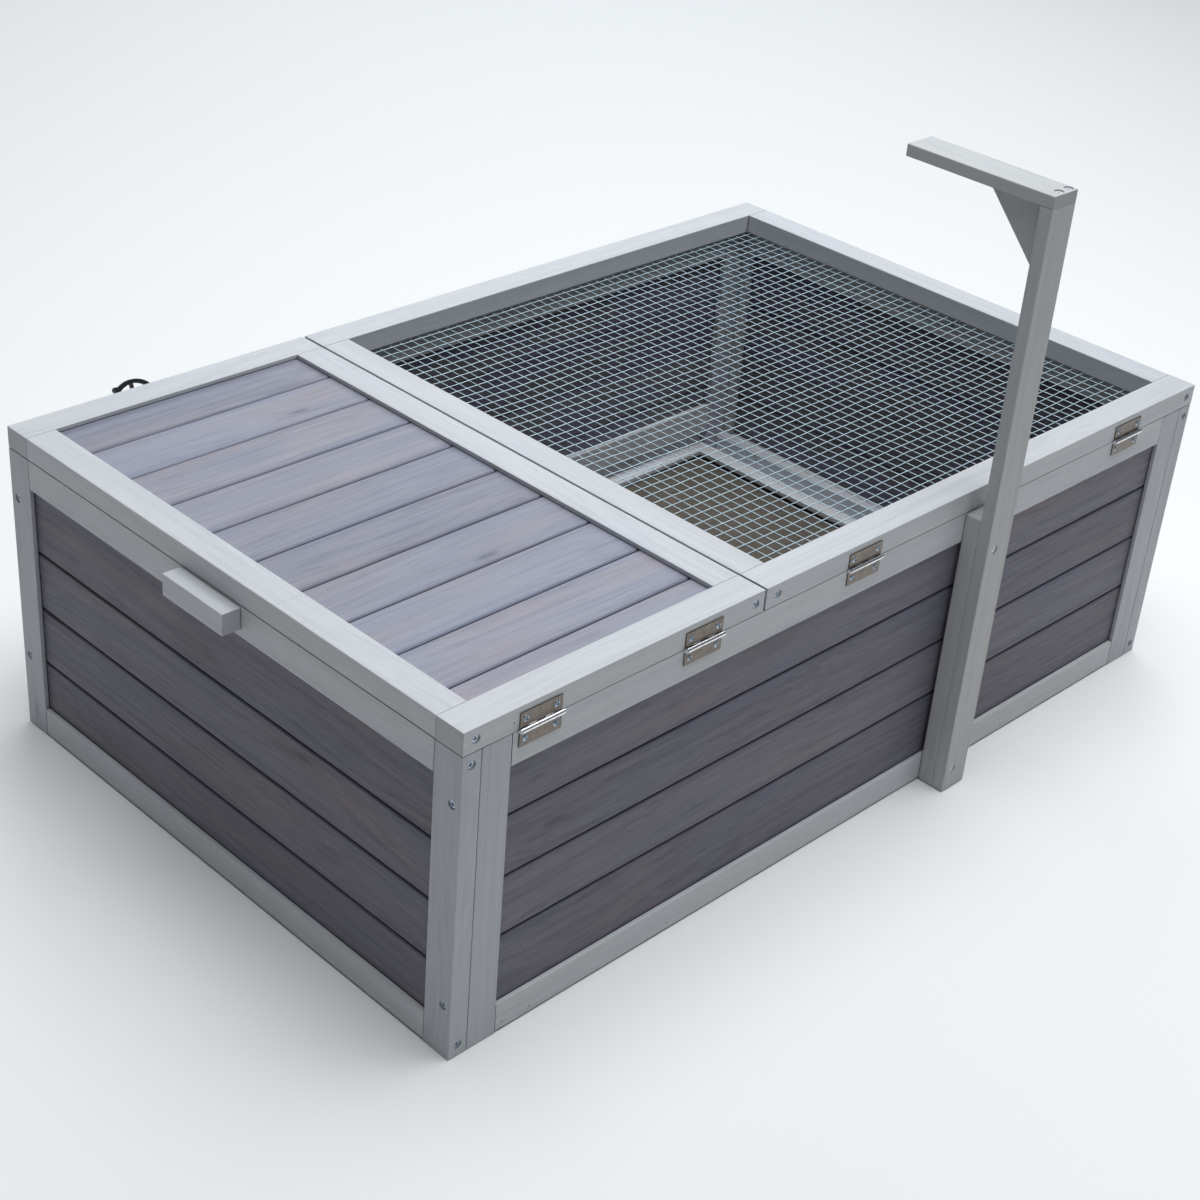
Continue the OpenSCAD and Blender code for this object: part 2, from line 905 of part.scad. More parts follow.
// Two layers of straight wires under the lid frame.
module wire_mesh() {
    placed() color(zinc) {
        for (j = [0:mesh_ny]) {
            translate([mesh_x0 - wire_tail, mesh_y0 + j * step_y, upper_wire_z])
                rotate([0, 90, 0]) cylinder(h = mesh_x1 - mesh_x0 + 2 * wire_tail, r = wire_r);
        }
        for (i = [0:mesh_nx]) {
            translate([mesh_x0 + i * step_x, mesh_y0 - wire_tail, lower_wire_z])
                rotate([-90, 0, 0]) cylinder(h = mesh_y1 - mesh_y0 + 2 * wire_tail, r = wire_r);
        }
    }
}

// ---------- tray ----------

// Strips on the end walls that the tray slides on and between.
module tray_guide() {
    bar([inner_x0, inner_y0, rail_lift], [inner_x0 + guide_t, inner_y1, bottom_rail_top]);
    bar([inner_x0 + guide_t, inner_y0, rail_lift],
        [inner_x0 + guide_t + runner_w, inner_y1, rail_lift + runner_t]);
}

module tray_guides() {
    placed() color(frame_grey) {
        tray_guide();
        mirror_x() tray_guide();
    }
}

module tray_floor_slot() {
    bar([tray_x0 + tray_batten_w - tray_slot_d, tray_y0 + tray_batten_w - tray_slot_d, tray_slot_z0],
        [tray_x1 - tray_batten_w + tray_slot_d, tray_y1 - tray_batten_w + tray_slot_d, tray_slot_z1]);
}

module tray_front() {
    placed() color(frame_grey) difference() {
        bar([tray_x0, tray_y1, tray_front_low], [tray_x1, box_w, tray_front_top]);
        translate([box_l / 2, tray_y1 - 1, tray_front_top]) rotate([-90, 0, 0])
            linear_extrude(tray_front_t + 2)
            polygon([for (a = [0:15:180]) [finger_w / 2 * cos(a), finger_d * sin(a)]]);
    }
}

module tray_battens() {
    placed() color(frame_grey) {
        for (x = [tray_x0, tray_x1 - tray_batten_w]) {
            difference() {
                bar([x, tray_y0 + tray_batten_w, tray_low],
                    [x + tray_batten_w, tray_y1 - tray_batten_w, tray_batten_top]);
                tray_floor_slot();
            }
        }
        for (y = [tray_y0, tray_y1 - tray_batten_w]) {
            difference() {
                bar([tray_x0, y, tray_low], [tray_x1, y + tray_batten_w, tray_batten_top]);
                tray_floor_slot();
            }
        }
    }
}

module tray_floor() {
    inset = tray_batten_w - tray_slot_d + fit * 2;
    placed() color(tray_brown)
        bar([tray_x0 + inset, tray_y0 + inset, tray_slot_z0 + fit],
            [tray_x1 - inset, tray_y1 - inset, tray_slot_z0 + fit + tray_floor_t]);
}

// ---------- clasp ----------

// Plate on the front wall with two ears for the pin.
module clasp_base() {
    placed() color(black) difference() {
        union() {
            bar([clasp_x - 25, box_w, clasp_z - 9], [clasp_x + 25, box_w + 1.5, clasp_z + 9]);
            for (s = [-1, 1]) {
                x0 = clasp_x + s * (bail_neck_w / 2 + 0.4 + ear_t / 2) - ear_t / 2;
                bar([x0, box_w + 1, clasp_z - 3.2], [x0 + ear_t, box_w + clasp_s, clasp_z + 3.2]);
                translate([x0, box_w + clasp_s, clasp_z]) rotate([0, 90, 0])
                    cylinder(h = ear_t, r = 3.2);
            }
        }
        translate([clasp_x, box_w + clasp_s, clasp_z]) rotate([0, 90, 0])
            cylinder(h = bail_w, r = clasp_pin_r + pin_fit, center = true);
        clasp_base_screws(screw_fit);
    }
}

module clasp_pin() {
    placed() color(zinc)
        translate([clasp_x, box_w + clasp_s, clasp_z]) rotate([0, 90, 0])
        cylinder(h = bail_neck_w + 2 * ear_t + 2, r = clasp_pin_r, center = true);
}

// Opening in the bail, on the +X side of its centre web.
module bail_lobe() {
    rotate([90, 0, 0]) linear_extrude(bail_t + 2, center = true) intersection() {
        translate([0, bail_l - bail_w / 2]) circle(r = bail_w / 2 - bail_band);
        translate([bail_web / 2, bail_foot]) square([bail_w, bail_l]);
    }
}

// Flat round-topped bail with two openings and a lug on its rim, drawn upright round its pivot.
module bail_shape() {
    difference() {
        union() {
            rotate([90, 0, 0]) linear_extrude(bail_t, center = true) {
                intersection() {
                    translate([0, bail_l - bail_w / 2]) circle(r = bail_w / 2);
                    translate([-bail_w / 2, bail_shoulder]) square([bail_w, bail_l]);
                }
                translate([-bail_neck_w / 2, 0]) square([bail_neck_w, bail_foot]);
            }
            rotate([0, 90, 0]) cylinder(h = bail_neck_w, r = clasp_barrel_r, center = true);
            translate([0, 0, bail_l - bail_w / 2]) rotate([0, 90 - bail_lug_a, 0])
                translate([0, 0, bail_w / 2]) rotate([90, 0, 0])
                cylinder(h = bail_lug_t, r = bail_lug_r, center = true);
        }
        rotate([0, 90, 0]) cylinder(h = bail_w, r = clasp_pin_r + pin_fit, center = true);
        bail_lobe();
        mirror([1, 0, 0]) bail_lobe();
    }
}

module clasp_bail() {
    placed() color(black)
        translate([clasp_x, box_w + clasp_s, clasp_z]) rotate([-bail_lean, 0, 0]) bail_shape();
}

// Plate on the lid with two studs that enter the bail's openings.
module clasp_keeper() {
    placed() color(black) difference() {
        union() {
            bar([clasp_x - 13, box_w, keeper_z - 5.5], [clasp_x + 13, box_w + 1.5, keeper_z + 5.5]);
            for (s = [-1, 1]) {
                translate([clasp_x + s * keeper_dx, box_w + 1, keeper_z]) rotate([-90, 0, 0])
                    cylinder(h = stud_l, r = 2.2);
            }
        }
        keeper_screws(screw_fit);
    }
}

back_left_stile();
back_right_stile();
back_top_rail();
back_bottom_rail();
back_boards();
front_left_stile();
front_right_stile();
front_top_rail();
front_bottom_rail();
front_boards();
left_back_stile();
left_front_stile();
left_top_rail();
left_bottom_rail();
left_boards();
right_back_stile();
right_front_stile();
right_top_rail();
right_bottom_rail();
right_boards();
carry_handles();
partition_top_rail();
partition_posts();
partition_boards();
tray_guides();
lamp_batten();
lamp_post();
lamp_arm();
lamp_gusset();
hinge_1_lower_leaf();
hinge_2_lower_leaf();
hinge_3_lower_leaf();
hinge_4_lower_leaf();
hinge_pins();
frame_screws();
lamp_screws();
hardware_screws();
clasp_base();
clasp_pin();
solid_lid_back_rail();
solid_lid_front_rail();
solid_lid_left_rail();
solid_lid_right_rail();
solid_lid_boards();
hinge_1_upper_leaf();
hinge_2_upper_leaf();
solid_lid_screws();
clasp_keeper();
mesh_lid_back_rail();
mesh_lid_front_rail();
mesh_lid_left_rail();
mesh_lid_right_rail();
wire_mesh();
hinge_3_upper_leaf();
hinge_4_upper_leaf();
mesh_lid_fixings();
tray_front();
tray_battens();
tray_floor();
clasp_bail();
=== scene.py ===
"""Looks for the low timber hutch: painted and stained wood, galvanised mesh, nickel hinges."""
import math
import random

import bmesh
import bpy
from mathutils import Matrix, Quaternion, Vector, noise


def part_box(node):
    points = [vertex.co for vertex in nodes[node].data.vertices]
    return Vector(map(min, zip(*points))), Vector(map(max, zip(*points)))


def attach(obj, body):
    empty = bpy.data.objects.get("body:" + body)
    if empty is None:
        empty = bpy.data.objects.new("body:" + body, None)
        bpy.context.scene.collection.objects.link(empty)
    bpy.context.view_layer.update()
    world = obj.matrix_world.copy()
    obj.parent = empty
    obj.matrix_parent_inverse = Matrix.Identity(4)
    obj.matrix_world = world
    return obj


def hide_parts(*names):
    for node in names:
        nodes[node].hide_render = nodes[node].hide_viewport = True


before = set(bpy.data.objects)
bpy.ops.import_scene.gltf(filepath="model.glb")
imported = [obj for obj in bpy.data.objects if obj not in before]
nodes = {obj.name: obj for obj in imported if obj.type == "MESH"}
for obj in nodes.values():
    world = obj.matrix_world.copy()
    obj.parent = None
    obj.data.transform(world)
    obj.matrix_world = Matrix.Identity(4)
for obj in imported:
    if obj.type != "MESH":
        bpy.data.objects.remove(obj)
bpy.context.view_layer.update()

MM = 0.001

# The outer corner of the walls nearest the camera. Box coordinates in mm start here.
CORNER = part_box("left_back_stile")[0].copy()

# The hinge pins lie along X, and their line is the middle of their box.
pins_low, pins_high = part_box("hinge_pins")
HINGE_AXIS = (pins_low + pins_high) / 2


def at(x, y, z):
    """A point in the shared frame from box coordinates in mm."""
    return CORNER + Vector((x, y, z)) * MM


def add_object(name, data):
    obj = bpy.data.objects.new(name, data)
    bpy.context.scene.collection.objects.link(obj)
    return obj


def add_mesh(name, bm, mat):
    """An object from a finished bmesh, which is freed."""
    mesh = bpy.data.meshes.new(name)
    bm.to_mesh(mesh)
    bm.free()
    mesh.materials.append(mat)
    return add_object(name, mesh)


# ---------- camera, floor and light ----------

# Place in box coordinates, direction of view, roll in degrees, lens and sensor in mm.
CAMERA_POS = (-828.06, -885.15, 1145.21)
CAMERA_DIR = (0.62838588, 0.58318412, -0.51480819)
CAMERA_ROLL = 4.858
CAMERA_LENS = 64.143
CAMERA_SENSOR = 36

FLOOR_TONE = (0.8, 0.8, 0.8, 1)
FLOOR_REACH = 12

# The world lights the scene with a dim sky and shows the camera a white backdrop.
SKY_TONE = (0.93, 0.96, 1.0, 1)
SKY_STRENGTH = 0.13
BACKDROP_TONE = (1, 1, 1, 1)
BACKDROP_STRENGTH = 0.85

# The softboxes point at the target, and the sun shines from SUN_FROM towards the origin.
LIGHT_TARGET = Vector((0, 0, 0.2))
OVERHEAD_TINT = (0.97, 0.985, 1.0)
FAR_TINT = (0.86, 0.94, 1.0)
SUN_FROM = Vector((0.05, -0.5, 2.0))
SUN_STRENGTH = 0.9
SUN_ANGLE = 0.7


def make_camera():
    data = bpy.data.cameras.new("camera")
    data.lens = CAMERA_LENS
    data.sensor_width = CAMERA_SENSOR
    data.clip_start = 0.05
    data.clip_end = 50
    cam = add_object("camera", data)
    cam.location = at(*CAMERA_POS)
    cam.rotation_mode = "QUATERNION"
    roll = Quaternion((0, 0, 1), math.radians(CAMERA_ROLL))
    cam.rotation_quaternion = Vector(CAMERA_DIR).to_track_quat("-Z", "Y") @ roll
    bpy.context.scene.camera = cam


def make_floor():
    mat = bpy.data.materials.new("floor_paper")
    mat.use_nodes = True
    shader = mat.node_tree.nodes["Principled BSDF"]
    shader.inputs["Base Color"].default_value = FLOOR_TONE
    shader.inputs["Roughness"].default_value = 0.9
    shader.inputs["Specular IOR Level"].default_value = 0.2
    bm = bmesh.new()
    bmesh.ops.create_grid(bm, x_segments=1, y_segments=1, size=FLOOR_REACH)
    floor = add_mesh("floor", bm, mat)


def make_world():
    world = bpy.data.worlds.new("studio")
    world.use_nodes = True
    tree = world.node_tree
    sky = tree.nodes["Background"]
    sky.inputs["Color"].default_value = SKY_TONE
    sky.inputs["Strength"].default_value = SKY_STRENGTH
    backdrop = tree.nodes.new("ShaderNodeBackground")
    backdrop.inputs["Color"].default_value = BACKDROP_TONE
    backdrop.inputs["Strength"].default_value = BACKDROP_STRENGTH
    ray = tree.nodes.new("ShaderNodeLightPath")
    choose = tree.nodes.new("ShaderNodeMixShader")
    tree.links.new(ray.outputs["Is Camera Ray"], choose.inputs[0])
    tree.links.new(sky.outputs[0], choose.inputs[1])
    tree.links.new(backdrop.outputs[0], choose.inputs[2])
    tree.links.new(choose.outputs[0], tree.nodes["World Output"].inputs["Surface"])
    bpy.context.scene.world = world
    bpy.context.scene.view_settings.view_transform = "Standard"


def softbox(name, location, size, power, tint):
    """A rectangular area light that points at the hutch."""
    data = bpy.data.lights.new(name, "AREA")
    data.color = tint
    data.shape = "RECTANGLE"
    data.size, data.size_y = size
    data.energy = power
    light = add_object(name, data)
    light.location = location
    light.rotation_mode = "QUATERNION"
    light.rotation_quaternion = (LIGHT_TARGET - Vector(location)).to_track_quat("-Z", "Y")


def overhead_sun():
    """A faint and wide sun, almost straight above."""
    data = bpy.data.lights.new("overhead", "SUN")
    data.energy = SUN_STRENGTH
    data.angle = SUN_ANGLE
    data.color = OVERHEAD_TINT
    sun = add_object("overhead", data)
    sun.rotation_euler = SUN_FROM.to_track_quat("Z", "Y").to_euler()


def make_lights():
    softbox("top_softbox", (0.3, -0.15, 2.7), (2.0, 2.6), 68, OVERHEAD_TINT)
    overhead_sun()
    softbox("far_softbox", (2.1, 2.3, 1.9), (2.4, 1.6), 30, FAR_TINT)


# ---------- tones ----------

def colour(r, g, b):
    """sRGB 0..255 to the linear colour that Blender uses."""
    def linear(c):
        c = c / 255
        return c / 12.92 if c <= 0.04045 else ((c + 0.055) / 1.055) ** 2.4
    return (linear(r), linear(g), linear(b), 1.0)


def darker(tone, factor):
    return tuple(c * factor for c in tone[:3]) + (1,)


# Cool, warm and dark tones of each finish on wood.
PAINT = (colour(188, 192, 197), colour(188, 190, 191), colour(144, 147, 151))
STILE_PAINT = (colour(174, 178, 185), colour(174, 176, 179), colour(130, 133, 139))
POST_PAINT = (colour(176, 179, 181), colour(176, 175, 173), colour(134, 135, 136))
# The tray's battens and guides take a paler copy of the paint: painted light that brightens the inside
# of the hutch.
TRAY_PAINT_PAINTED_LIGHTER = (colour(212, 217, 222), colour(208, 211, 213), colour(170, 174, 179))
WALL_STAIN = (colour(105, 106, 121), colour(113, 107, 113), colour(69, 67, 79))
LID_STAIN = (colour(131, 137, 154), colour(144, 139, 146), colour(102, 103, 118))
TRAY_PLY = (colour(94, 88, 81), colour(100, 92, 82), colour(64, 58, 52))
GLUE_LINE = (colour(150, 156, 162), colour(140, 143, 147), colour(112, 116, 122))

# Stain that has run to the edges of a board, and the colour down in the joint.
POOLED = colour(190, 200, 226)
JOINT = colour(34, 36, 52)

# Clean and tarnished tones of each metal.
ZINC = (colour(178, 194, 208), colour(126, 140, 156))
# A paler zinc for the lamp's screws: painted light, so that their recessed heads do not look dark.
ZINC_PAINTED_LIGHTER = (colour(240, 244, 248), colour(214, 220, 226))
BLACK_LACQUER = (colour(26, 26, 28), colour(38, 37, 38))
GALVANISED = (colour(216, 237, 246), colour(191, 214, 226))
RUSTY_STEEL = (colour(112, 88, 76), colour(70, 58, 54))
NICKEL = (colour(128, 121, 113), colour(110, 103, 96))
# A pale nickel painted on the knuckles as their highlight.
NICKEL_PAINTED_HIGHLIGHT = colour(236, 238, 242)


# ---------- materials ----------

# The axis along the grain comes first.
GRAIN_AXES = {"x": ("X", "Y", "Z"), "y": ("Y", "Z", "X"), "z": ("Z", "X", "Y")}

BOARD_PITCH = 56.5 * MM
JOINT_GAP = 1.6 * MM
EDGE_RADIUS = 0.9 * MM

# Reach of the rolled knuckles from the pins' line, and where the flat leaves start.
KNUCKLE_R = 2.25 * MM
LEAF_START = 2.5 * MM


class Shader:
    """A node material under construction, with short ways to add and join nodes."""

    def __init__(self, name, metallic=0.0, roughness=0.5):
        self.mat = bpy.data.materials.new(name)
        self.mat.use_nodes = True
        self.tree = self.mat.node_tree
        self.out = self.tree.nodes["Principled BSDF"]
        self.out.inputs["Metallic"].default_value = metallic
        self.out.inputs["Roughness"].default_value = roughness

    def node(self, kind, settings=None, **inputs):
        n = self.tree.nodes.new("ShaderNode" + kind)
        for key, value in (settings or {}).items():
            setattr(n, key, value)
        for key, value in inputs.items():
            self.put(n.inputs[key], value)
        return n

    def put(self, socket, value):
        if isinstance(value, bpy.types.NodeSocket):
            self.tree.links.new(value, socket)
        else:
            socket.default_value = value

    def place(self):
        return self.node("TexCoord").outputs["Object"]

    def split(self, vector):
        n = self.node("SeparateXYZ")
        self.put(n.inputs[0], vector)
        return n.outputs

    def math(self, op, a, b=0.0, clamp=False):
        n = self.node("Math", {"operation": op, "use_clamp": clamp})
        self.put(n.inputs[0], a)
        self.put(n.inputs[1], b)
        return n.outputs[0]

    def vmath(self, op, a, b):
        n = self.node("VectorMath", {"operation": op})
        self.put(n.inputs[0], a)
        self.put(n.inputs[1], b)
        return n.outputs["Value" if op == "DOT_PRODUCT" else "Vector"]

    def noise(self, vector, scale=1.0, detail=2.0, roughness=0.5):
        n = self.node("TexNoise", Scale=scale, Detail=detail, Roughness=roughness, Vector=vector)
        return n.outputs[0]

    def remap(self, value, low, high, to_low=0.0, to_high=1.0):
        n = self.node("MapRange", {"clamp": True})
        self.put(n.inputs["Value"], value)
        n.inputs["From Min"].default_value = low
        n.inputs["From Max"].default_value = high
        n.inputs["To Min"].default_value = to_low
        n.inputs["To Max"].default_value = to_high
        return n.outputs[0]

    def mix(self, factor, a, b, blend="MIX"):
        n = self.node("Mix", {"data_type": "RGBA", "blend_type": blend})
        self.put(n.inputs[0], factor)
        self.put(n.inputs[6], a)
        self.put(n.inputs[7], b)
        return n.outputs[2]

    def bump(self, height, distance, strength, normal=None):
        n = self.node("Bump", Height=height, Distance=distance, Strength=strength)
        if normal is not None:
            self.put(n.inputs["Normal"], normal)
        self.put(self.out.inputs["Normal"], n.outputs[0])

    def dirt_and_painted_shade(self, base, dirt_and_shade_tone, reach, closed, free, amount):
        """Dirt and painted shade in seams, screw recesses and inner corners: the colour is darkened
        where ambient occlusion finds the surface closed in.
        """
        crevice = self.node("AmbientOcclusion", {"samples": 6}, Distance=reach).outputs["AO"]
        return self.mix(self.remap(crevice, closed, free, amount, 0.0), base, dirt_and_shade_tone)


def board_rows(s, level, first, joints, seed):
    """The distance from the nearest joint of a boarded panel, with a random colour and a random
    value for each board. level runs across the boards, and first is the level of the first joint.
    """
    row = s.math("DIVIDE", s.math("SUBTRACT", level, first), BOARD_PITCH)
    index = s.math("MINIMUM", s.math("MAXIMUM", s.math("FLOOR", row), -1.0), joints - 1.0)
    nearest = s.math("MINIMUM", s.math("MAXIMUM", s.math("ROUND", row), 0.0), joints - 1.0)
    side = s.math("MULTIPLY", s.math("SUBTRACT", row, nearest), BOARD_PITCH)
    side = s.math("ABSOLUTE", s.math("ADD", side, JOINT_GAP / 2))
    board = s.node("TexWhiteNoise", {"noise_dimensions": "1D"}, W=s.math("ADD", index, seed * 7.3))
    return side, board.outputs["Color"], board.outputs["Value"]


def grain(s, p):
    """Patches, streaks, rings and fibres, all stretched along the first axis of p."""
    drift = s.noise(s.vmath("MULTIPLY", p, (2.4, 10.0, 10.0)), detail=1.0)
    drift = s.math("MULTIPLY", s.math("SUBTRACT", drift, 0.5), 0.05)
    bent = s.vmath("ADD", p, s.node("CombineXYZ", X=0.0, Y=drift, Z=drift).outputs[0])
    patch = s.noise(s.vmath("MULTIPLY", bent, (5.0, 24.0, 24.0)), detail=2.0, roughness=0.45)
    streak = s.noise(s.vmath("MULTIPLY", bent, (3.2, 120.0, 120.0)), detail=2.5, roughness=0.55)
    rings = s.noise(s.vmath("MULTIPLY", bent, (2.2, 230.0, 230.0)), detail=1.0)
    fine = s.noise(s.vmath("MULTIPLY", bent, (18.0, 620.0, 620.0)), detail=3.0, roughness=0.65)
    return (s.remap(patch, 0.36, 0.64), s.remap(streak, 0.36, 0.64),
            s.math("POWER", s.remap(rings, 0.42, 0.68), 1.5), s.remap(fine, 0.32, 0.68))


def add_knots(s, base, p, dark, amount):
    """Small dark knots with a softer ring round each."""
    cells = s.node("TexVoronoi", {"feature": "F1"}, Scale=1.0,
                   Vector=s.vmath("MULTIPLY", p, (3.4, 13.0, 13.0)))
    halo = s.remap(cells.outputs["Distance"], 0.03, 0.17, 0.5, 0.0)
    core = s.remap(cells.outputs["Distance"], 0.02, 0.05, 1.0, 0.0)
    base = s.mix(s.math("MULTIPLY", halo, amount), base, dark)
    return s.mix(s.math("MULTIPLY", core, amount), base, darker(dark, 0.45))


def add_joints(s, base, side):
    """Stain pooled beside each joint, and a dark line down in the joint."""
    base = s.mix(s.remap(side, 2.0 * MM, 11.0 * MM, 0.26, 0.0), base, POOLED, "MULTIPLY")
    return s.mix(s.remap(side, 0.6 * MM, 1.1 * MM, 0.60, 0.0), base, JOINT)


def add_sawn_ends(s, base, along, dark):
    """Sawn ends, which face along the grain, take the paint darker."""
    facing = s.split(s.node("TexCoord").outputs["Normal"])
    ends = s.remap(s.math("ABSOLUTE", facing[along]), 0.75, 0.95, 0.0, 0.45)
    return s.mix(ends, base, dark)


def add_worn_and_highlit_edges(s, base, rounded, streak, cool, amount):
    """Edges made paler where the rounded normal leaves the true one: partly rubbed wear, partly a
    painted highlight.
    """
    corner = s.vmath("DOT_PRODUCT", rounded, s.node("NewGeometry").outputs["Normal"])
    rub_and_highlight = s.remap(corner, 0.995, 0.86, 0.0, amount)
    worn_and_highlit = s.math("MULTIPLY", rub_and_highlight, s.remap(streak, 0.2, 0.8, 0.35, 1.0))
    return s.mix(worn_and_highlit, base, tuple(min(1.0, c * 1.35 + 0.02) for c in cool[:3]) + (1,))


def wood(name, along, seed, tones, boards=None, contrast=1.0, roughness=0.5, relief=0.1 * MM,
         edge=0.0, knots=0.5, blend=1.0):
    """Sawn and coated wood: soft patches of a cool and a warm tone, streaks, fibres, small knots.

    along is the grain's axis. tones are the cool, warm and dark colours, and blend is how far the
    warm one comes in. boards is (axis, first joint, joints) for a panel whose boards each get
    their own tone and grain, with stain that has pooled in the joints.
    """
    cool, warm, dark = tones
    s = Shader(name, roughness=roughness)
    rng = random.Random(seed)
    xyz = s.split(s.place())
    u, v, w = GRAIN_AXES[along]
    p = s.node("CombineXYZ", X=xyz[u], Y=xyz[v], Z=xyz[w]).outputs[0]
    p = s.vmath("ADD", p, [rng.uniform(-4, 4) for _ in range(3)])
    if boards:
        axis, first, joints = boards
        side, jump, tone = board_rows(s, xyz[axis], first, joints, seed)
        p = s.vmath("ADD", p, s.vmath("MULTIPLY", jump, (5.0, 5.0, 5.0)))
    patch, streak, rings, fine = grain(s, p)

    hue = s.math("ADD", s.math("MULTIPLY", patch, 0.72 * blend),
                 s.math("MULTIPLY", streak, 0.28 * blend), True)
    base = s.mix(hue, cool, warm)
    shade = s.math("ADD", s.math("MULTIPLY", rings, 0.24), s.math("MULTIPLY", fine, 0.28))
    shade = s.math("ADD", shade, s.math("MULTIPLY", s.math("SUBTRACT", 1.0, streak), 0.20))
    if boards:
        shade = s.math("ADD", shade, s.remap(tone, 0, 1, -0.20, 0.20))
    base = s.mix(s.math("MULTIPLY", shade, contrast, True), base, dark)
    if knots > 0:
        base = add_knots(s, base, p, dark, knots)
    if boards:
        base = add_joints(s, base, side)
    base = add_sawn_ends(s, base, u, dark)
    rounded = s.node("Bevel", {"samples": 4}, Radius=EDGE_RADIUS).outputs[0]
    if edge > 0:
        # Paler edges: partly wear, partly a painted highlight along them.
        base = add_worn_and_highlit_edges(s, base, rounded, streak, cool, edge)
    # Painted shade, with some dirt: the wood is darkened in seams, screw recesses and inner corners.
    base = s.dirt_and_painted_shade(base, darker(dark, 0.25), 2.5 * MM, 0.25, 0.70, 0.75)

    s.put(s.out.inputs["Base Color"], base)
    s.put(s.out.inputs["Roughness"], s.remap(fine, 0, 1, roughness - 0.06, roughness + 0.1))
    height = s.math("ADD", s.math("MULTIPLY", fine, 0.6), s.math("MULTIPLY", rings, 0.4))
    s.bump(height, relief, 0.8, rounded)
    return s.mat


def hinge_nickel():
    """Dull nickel plate, with the rolled knuckles round the pins painted much paler as a highlight."""
    s = Shader("nickel", metallic=1.0, roughness=0.34)
    p = s.place()
    xyz = s.split(p)
    dy = s.math("SUBTRACT", xyz["Y"], HINGE_AXIS.y)
    dz = s.math("SUBTRACT", xyz["Z"], HINGE_AXIS.z)
    square = s.math("ADD", s.math("MULTIPLY", dy, dy), s.math("MULTIPLY", dz, dz))
    rolled = s.remap(s.math("SQRT", square), KNUCKLE_R, LEAF_START, 1.0, 0.0)
    cloud = s.remap(s.noise(p, scale=160.0, detail=4.0, roughness=0.6), 0.35, 0.7)
    flat = s.mix(cloud, *NICKEL)
    # The knuckles get the pale nickel: a painted highlight.
    s.put(s.out.inputs["Base Color"], s.mix(rolled, flat, NICKEL_PAINTED_HIGHLIGHT))
    s.put(s.out.inputs["Roughness"], s.remap(rolled, 0, 1, 0.34, 0.22))
    s.bump(s.noise(p, scale=2400.0, detail=2.0), 0.02 * MM, 0.5)
    return s.mat


def metal(name, tones, roughness, scale=260.0, metallic=1.0, grime_and_painted_shade=0.0):
    """Plated or lacquered metal with faint tarnish, and grime and painted shade darkening its slots
    and corners.
    """
    s = Shader(name, metallic=metallic, roughness=roughness)
    p = s.place()
    cloud = s.remap(s.noise(p, scale=scale, detail=4.0, roughness=0.6), 0.35, 0.7)
    base = s.mix(cloud, *tones)
    # Painted shade, with some grime: the metal is darkened in slots, recesses and corners.
    if grime_and_painted_shade > 0:
        base = s.dirt_and_painted_shade(base, darker(tones[1], 0.06), 1.6 * MM, 0.45, 0.85, grime_and_painted_shade)
    s.put(s.out.inputs["Base Color"], base)
    s.put(s.out.inputs["Roughness"], s.remap(cloud, 0, 1, roughness * 0.8, roughness * 1.35))
    s.bump(s.noise(p, scale=scale * 12, detail=2.0), 0.03 * MM, 0.6)
    return s.mat


# ---------- CAD nodes ----------

# Frame members by the axis of their grain.
FRAME_NODES = {
    "x": ["back_top_rail", "back_bottom_rail", "front_top_rail", "front_bottom_rail",
          "solid_lid_back_rail", "solid_lid_front_rail", "mesh_lid_back_rail",
          "mesh_lid_front_rail", "tray_front"],
    "y": ["left_top_rail", "left_bottom_rail", "right_top_rail", "right_bottom_rail",
          "carry_handles", "partition_top_rail", "tray_guides", "lamp_arm", "solid_lid_left_rail",
          "solid_lid_right_rail", "mesh_lid_left_rail", "mesh_lid_right_rail", "tray_battens"],
    "z": ["back_left_stile", "back_right_stile", "front_left_stile", "front_right_stile",
          "left_back_stile", "left_front_stile", "right_back_stile", "right_front_stile",
          "partition_posts", "lamp_batten", "lamp_post", "lamp_gusset"],
}

# Members with screw holes in a wide face: their edges are rounded in the shading alone.
DRILLED = ["back_top_rail", "solid_lid_back_rail", "mesh_lid_back_rail"]
EASED_WIDTH = 0.7 * MM

# Panels of boards in the walls: grain axis and height of the first joint in mm.
WALL_PANELS = {
    "back_boards": ("x", 93),
    "front_boards": ("x", 93),
    "left_boards": ("y", 78),
    "right_boards": ("y", 78),
    "partition_boards": ("y", 78),
}
WALL_JOINTS = 3

# The boarded lid: distance of its first joint from the back in mm, and the number of joints.
LID_FIRST_JOINT = 55.5
LID_JOINTS = 9


def dress(name, mat):
    obj = nodes[name]
    obj.data.materials.clear()
    obj.data.materials.append(mat)
    for poly in obj.data.polygons:
        poly.material_index = 0


